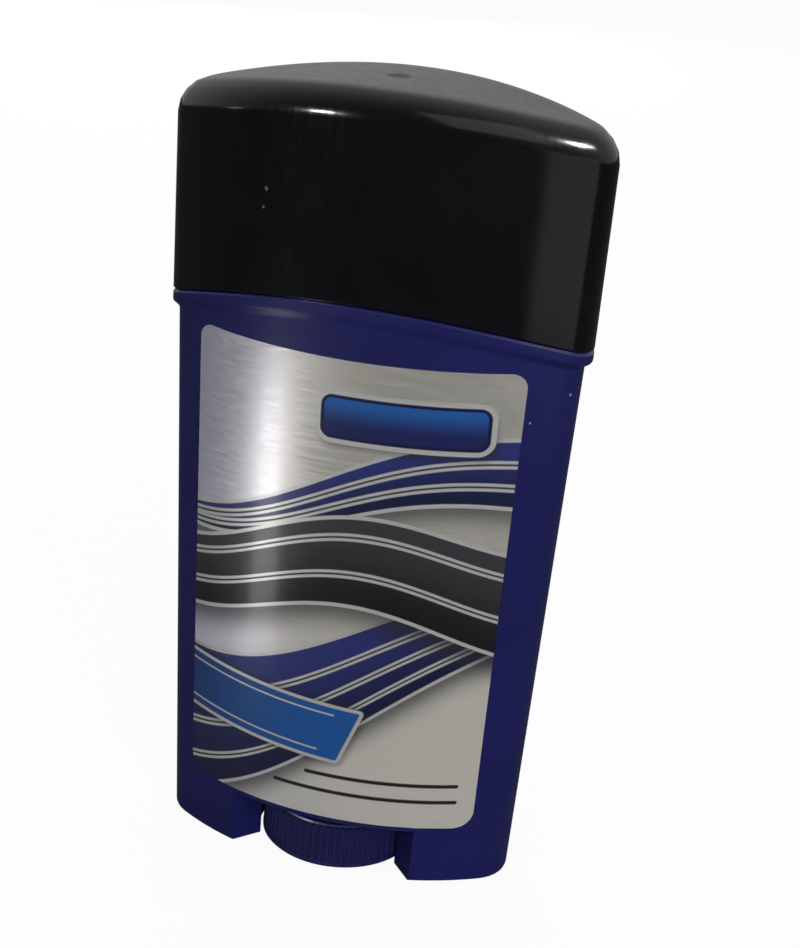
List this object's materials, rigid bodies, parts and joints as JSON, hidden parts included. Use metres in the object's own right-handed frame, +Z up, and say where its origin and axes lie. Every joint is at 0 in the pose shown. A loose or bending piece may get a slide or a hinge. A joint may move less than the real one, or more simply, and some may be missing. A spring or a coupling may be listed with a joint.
{
  "type": "deodorant stick",
  "caption": "Oval twist-up deodorant stick: tapered barrel on feet, ribbed dial and screw that raise a platform with the bar, arched push-on cap and a front label.",
  "frame": {"origin": "centre of the footprint, on the plane that the feet stand on", "axes": "+Z up along the dial's screw, +X to the viewer's right when the label is seen from the front, -Y out of the labelled face"},
  "size_m": [0.0636, 0.032, 0.12],
  "materials": {
    "navy_plastic": "satin-gloss moulded polypropylene, dark navy blue",
    "black_plastic": "glossy moulded polypropylene, near black, lightly scuffed",
    "navy_dial": "satin moulded acetal, dark navy blue",
    "natural_plastic": "natural white moulded polypropylene",
    "solid_product": "smooth waxy solid, off-white with a blue cast",
    "silver_film": "metallised film with a brushed look, printed with plain waves and panels"
  },
  "bodies": {
    "barrel": {"barrel": "navy_plastic", "front_label": "silver_film"},
    "cap": {"cap": "black_plastic"},
    "dial": {"dial_screw": "navy_dial"},
    "platform": {"elevator": "natural_plastic", "deodorant_bar": "solid_product"}
  },
  "joints": [
    {"name": "cap_lift", "type": "slide", "parent": "barrel", "child": "cap", "axis": [0, 0, 1], "range_m": [0, 0.045]},
    {"name": "dial_spin", "type": "hinge", "parent": "barrel", "child": "dial", "pos_m": [0, 0, 0], "axis": [0, 0, 1], "range_deg": [-3780, 1980]},
    {"name": "elevator_rise", "type": "slide", "parent": "barrel", "child": "platform", "axis": [0, 0, 1], "range_m": [-0.042, 0.022]}
  ],
  "couplings": [
    {"joint": "dial_spin", "follows": "elevator_rise", "rad_per_m": 1570.8}
  ]
}
